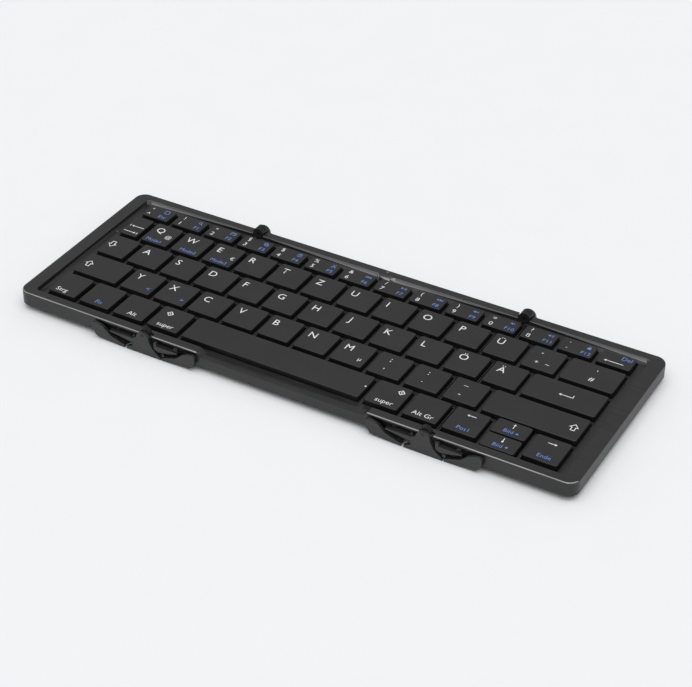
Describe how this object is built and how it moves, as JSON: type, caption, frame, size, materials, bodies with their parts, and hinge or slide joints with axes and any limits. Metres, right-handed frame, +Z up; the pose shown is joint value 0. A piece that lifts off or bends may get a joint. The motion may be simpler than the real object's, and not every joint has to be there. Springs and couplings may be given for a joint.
{
  "type": "folding keyboard",
  "caption": "Flat compact keyboard in three sections whose two end wings fold over the middle on ribbed hinges.",
  "frame": {"origin": "on the table, under the middle of the opened keyboard", "axes": "+X along the length to the right, +Y from the front edge to the back, +Z up"},
  "size_m": [0.2588, 0.0958, 0.012],
  "materials": {
    "frame": "charcoal paint with a fine brushed grain, satin",
    "cover": "charcoal paint, satin",
    "keycap": "charcoal moulded plastic, fine matt texture",
    "hinge": "charcoal paint on metal, satin",
    "pin": "blackened steel",
    "screw": "blackened steel",
    "foot_rubber": "black rubber",
    "dome_rubber": "black silicone rubber, matt",
    "board": "green solder resist on glass fibre",
    "cable": "amber film with copper tracks",
    "battery": "silver foil pouch",
    "wireless_module": "module with a metal can",
    "socket": "plated steel shell",
    "light": "clear light pipe"
  },
  "bodies": {
    "centre_section": {"centre_bottom_cover": "cover", "centre_top_frame": "frame", "centre_circuit_board": "board", "centre_dome_sheet": "dome_rubber", "centre_screws": "screw", "centre_rubber_feet": "foot_rubber", "centre_hinge_leaves": "hinge", "centre_hinge_feet": "hinge", "hinge_pins": "pin", "flex_cables": "cable", "battery": "battery", "wireless_module": "wireless_module", "charging_socket": "socket", "status_light": "light"},
    "left_section": {"left_bottom_cover": "cover", "left_top_frame": "frame", "left_circuit_board": "board", "left_dome_sheet": "dome_rubber", "left_screws": "screw", "left_rubber_feet": "foot_rubber", "left_hinge_leaves": "hinge", "left_hinge_feet": "hinge", "caps_light": "light"},
    "right_section": {"right_bottom_cover": "cover", "right_top_frame": "frame", "right_circuit_board": "board", "right_dome_sheet": "dome_rubber", "right_screws": "screw", "right_rubber_feet": "foot_rubber", "right_hinge_leaves": "hinge", "right_hinge_feet": "hinge"},
    "keys_left_row_1": {"keys_left_row_1": "keycap"},
    "key_tab": {"key_tab": "keycap"},
    "keys_left_row_2": {"keys_left_row_2": "keycap"},
    "key_caps_lock": {"key_caps_lock": "keycap"},
    "keys_left_row_3": {"keys_left_row_3": "keycap"},
    "key_shift_left": {"key_shift_left": "keycap"},
    "keys_left_row_4": {"keys_left_row_4": "keycap"},
    "key_ctrl": {"key_ctrl": "keycap"},
    "key_fn": {"key_fn": "keycap"},
    "key_alt": {"key_alt": "keycap"},
    "keys_centre_row_1": {"keys_centre_row_1": "keycap"},
    "keys_centre_row_2": {"keys_centre_row_2": "keycap"},
    "keys_centre_row_3": {"keys_centre_row_3": "keycap"},
    "keys_centre_row_4": {"keys_centre_row_4": "keycap"},
    "key_super_left": {"key_super_left": "keycap"},
    "key_space": {"key_space": "keycap"},
    "key_super_right": {"key_super_right": "keycap"},
    "key_alt_gr": {"key_alt_gr": "keycap"},
    "keys_right_row_1": {"keys_right_row_1": "keycap"},
    "key_delete": {"key_delete": "keycap"},
    "keys_right_row_2": {"keys_right_row_2": "keycap"},
    "key_right_row_3": {"key_right_row_3": "keycap"},
    "key_enter": {"key_enter": "keycap"},
    "key_right_row_4": {"key_right_row_4": "keycap"},
    "key_shift_right": {"key_shift_right": "keycap"},
    "key_arrow_left": {"key_arrow_left": "keycap"},
    "key_arrow_up": {"key_arrow_up": "keycap"},
    "key_arrow_down": {"key_arrow_down": "keycap"},
    "key_arrow_right": {"key_arrow_right": "keycap"}
  },
  "joints": [
    {"name": "left_fold", "type": "hinge", "parent": "centre_section", "child": "left_section", "pos_m": [-0.06424, 0, 0.0095], "axis": [0, 1, 0], "range_deg": [0, 180], "deforming": ["flex_cables"]},
    {"name": "right_fold", "type": "hinge", "parent": "centre_section", "child": "right_section", "pos_m": [0.06616, 0, 0.0095], "axis": [0, -1, 0], "range_deg": [0, 180], "deforming": ["flex_cables"]},
    {"name": "press_left_row_1", "type": "slide", "parent": "left_section", "child": "keys_left_row_1", "axis": [0, 0, -1], "range_m": [0, 0.0016], "stiffness_N_per_m": 1050, "deforming": ["left_dome_sheet"]},
    {"name": "press_tab", "type": "slide", "parent": "left_section", "child": "key_tab", "axis": [0, 0, -1], "range_m": [0, 0.0016], "stiffness_N_per_m": 350, "deforming": ["left_dome_sheet"]},
    {"name": "press_left_row_2", "type": "slide", "parent": "left_section", "child": "keys_left_row_2", "axis": [0, 0, -1], "range_m": [0, 0.0016], "stiffness_N_per_m": 1050, "deforming": ["left_dome_sheet"]},
    {"name": "press_caps_lock", "type": "slide", "parent": "left_section", "child": "key_caps_lock", "axis": [0, 0, -1], "range_m": [0, 0.0016], "stiffness_N_per_m": 350, "deforming": ["left_dome_sheet"]},
    {"name": "press_left_row_3", "type": "slide", "parent": "left_section", "child": "keys_left_row_3", "axis": [0, 0, -1], "range_m": [0, 0.0016], "stiffness_N_per_m": 700, "deforming": ["left_dome_sheet"]},
    {"name": "press_shift_left", "type": "slide", "parent": "left_section", "child": "key_shift_left", "axis": [0, 0, -1], "range_m": [0, 0.0016], "stiffness_N_per_m": 350, "deforming": ["left_dome_sheet"]},
    {"name": "press_left_row_4", "type": "slide", "parent": "left_section", "child": "keys_left_row_4", "axis": [0, 0, -1], "range_m": [0, 0.0016], "stiffness_N_per_m": 700, "deforming": ["left_dome_sheet"]},
    {"name": "press_ctrl", "type": "slide", "parent": "left_section", "child": "key_ctrl", "axis": [0, 0, -1], "range_m": [0, 0.0016], "stiffness_N_per_m": 350, "deforming": ["left_dome_sheet"]},
    {"name": "press_fn", "type": "slide", "parent": "left_section", "child": "key_fn", "axis": [0, 0, -1], "range_m": [0, 0.0016], "stiffness_N_per_m": 350, "deforming": ["left_dome_sheet"]},
    {"name": "press_alt", "type": "slide", "parent": "left_section", "child": "key_alt", "axis": [0, 0, -1], "range_m": [0, 0.0016], "stiffness_N_per_m": 350, "deforming": ["left_dome_sheet"]},
    {"name": "press_centre_row_1", "type": "slide", "parent": "centre_section", "child": "keys_centre_row_1", "axis": [0, 0, -1], "range_m": [0, 0.0016], "stiffness_N_per_m": 2800, "deforming": ["centre_dome_sheet"]},
    {"name": "press_centre_row_2", "type": "slide", "parent": "centre_section", "child": "keys_centre_row_2", "axis": [0, 0, -1], "range_m": [0, 0.0016], "stiffness_N_per_m": 2450, "deforming": ["centre_dome_sheet"]},
    {"name": "press_centre_row_3", "type": "slide", "parent": "centre_section", "child": "keys_centre_row_3", "axis": [0, 0, -1], "range_m": [0, 0.0016], "stiffness_N_per_m": 2800, "deforming": ["centre_dome_sheet"]},
    {"name": "press_centre_row_4", "type": "slide", "parent": "centre_section", "child": "keys_centre_row_4", "axis": [0, 0, -1], "range_m": [0, 0.0016], "stiffness_N_per_m": 2450, "deforming": ["centre_dome_sheet"]},
    {"name": "press_super_left", "type": "slide", "parent": "centre_section", "child": "key_super_left", "axis": [0, 0, -1], "range_m": [0, 0.0016], "stiffness_N_per_m": 350, "deforming": ["centre_dome_sheet"]},
    {"name": "press_space", "type": "slide", "parent": "centre_section", "child": "key_space", "axis": [0, 0, -1], "range_m": [0, 0.0016], "stiffness_N_per_m": 350, "deforming": ["centre_dome_sheet"]},
    {"name": "press_super_right", "type": "slide", "parent": "centre_section", "child": "key_super_right", "axis": [0, 0, -1], "range_m": [0, 0.0016], "stiffness_N_per_m": 350, "deforming": ["centre_dome_sheet"]},
    {"name": "press_alt_gr", "type": "slide", "parent": "centre_section", "child": "key_alt_gr", "axis": [0, 0, -1], "range_m": [0, 0.0016], "stiffness_N_per_m": 350, "deforming": ["centre_dome_sheet"]},
    {"name": "press_right_row_1", "type": "slide", "parent": "right_section", "child": "keys_right_row_1", "axis": [0, 0, -1], "range_m": [0, 0.0016], "stiffness_N_per_m": 700, "deforming": ["right_dome_sheet"]},
    {"name": "press_delete", "type": "slide", "parent": "right_section", "child": "key_delete", "axis": [0, 0, -1], "range_m": [0, 0.0016], "stiffness_N_per_m": 350, "deforming": ["right_dome_sheet"]},
    {"name": "press_right_row_2", "type": "slide", "parent": "right_section", "child": "keys_right_row_2", "axis": [0, 0, -1], "range_m": [0, 0.0016], "stiffness_N_per_m": 1050, "deforming": ["right_dome_sheet"]},
    {"name": "press_right_row_3", "type": "slide", "parent": "right_section", "child": "key_right_row_3", "axis": [0, 0, -1], "range_m": [0, 0.0016], "stiffness_N_per_m": 350, "deforming": ["right_dome_sheet"]},
    {"name": "press_enter", "type": "slide", "parent": "right_section", "child": "key_enter", "axis": [0, 0, -1], "range_m": [0, 0.0016], "stiffness_N_per_m": 350, "deforming": ["right_dome_sheet"]},
    {"name": "press_right_row_4", "type": "slide", "parent": "right_section", "child": "key_right_row_4", "axis": [0, 0, -1], "range_m": [0, 0.0016], "stiffness_N_per_m": 350, "deforming": ["right_dome_sheet"]},
    {"name": "press_shift_right", "type": "slide", "parent": "right_section", "child": "key_shift_right", "axis": [0, 0, -1], "range_m": [0, 0.0016], "stiffness_N_per_m": 350, "deforming": ["right_dome_sheet"]},
    {"name": "press_arrow_left", "type": "slide", "parent": "right_section", "child": "key_arrow_left", "axis": [0, 0, -1], "range_m": [0, 0.0016], "stiffness_N_per_m": 350, "deforming": ["right_dome_sheet"]},
    {"name": "press_arrow_up", "type": "slide", "parent": "right_section", "child": "key_arrow_up", "axis": [0, 0, -1], "range_m": [0, 0.0016], "stiffness_N_per_m": 350, "deforming": ["right_dome_sheet"]},
    {"name": "press_arrow_down", "type": "slide", "parent": "right_section", "child": "key_arrow_down", "axis": [0, 0, -1], "range_m": [0, 0.0016], "stiffness_N_per_m": 350, "deforming": ["right_dome_sheet"]},
    {"name": "press_arrow_right", "type": "slide", "parent": "right_section", "child": "key_arrow_right", "axis": [0, 0, -1], "range_m": [0, 0.0016], "stiffness_N_per_m": 350, "deforming": ["right_dome_sheet"]}
  ]
}
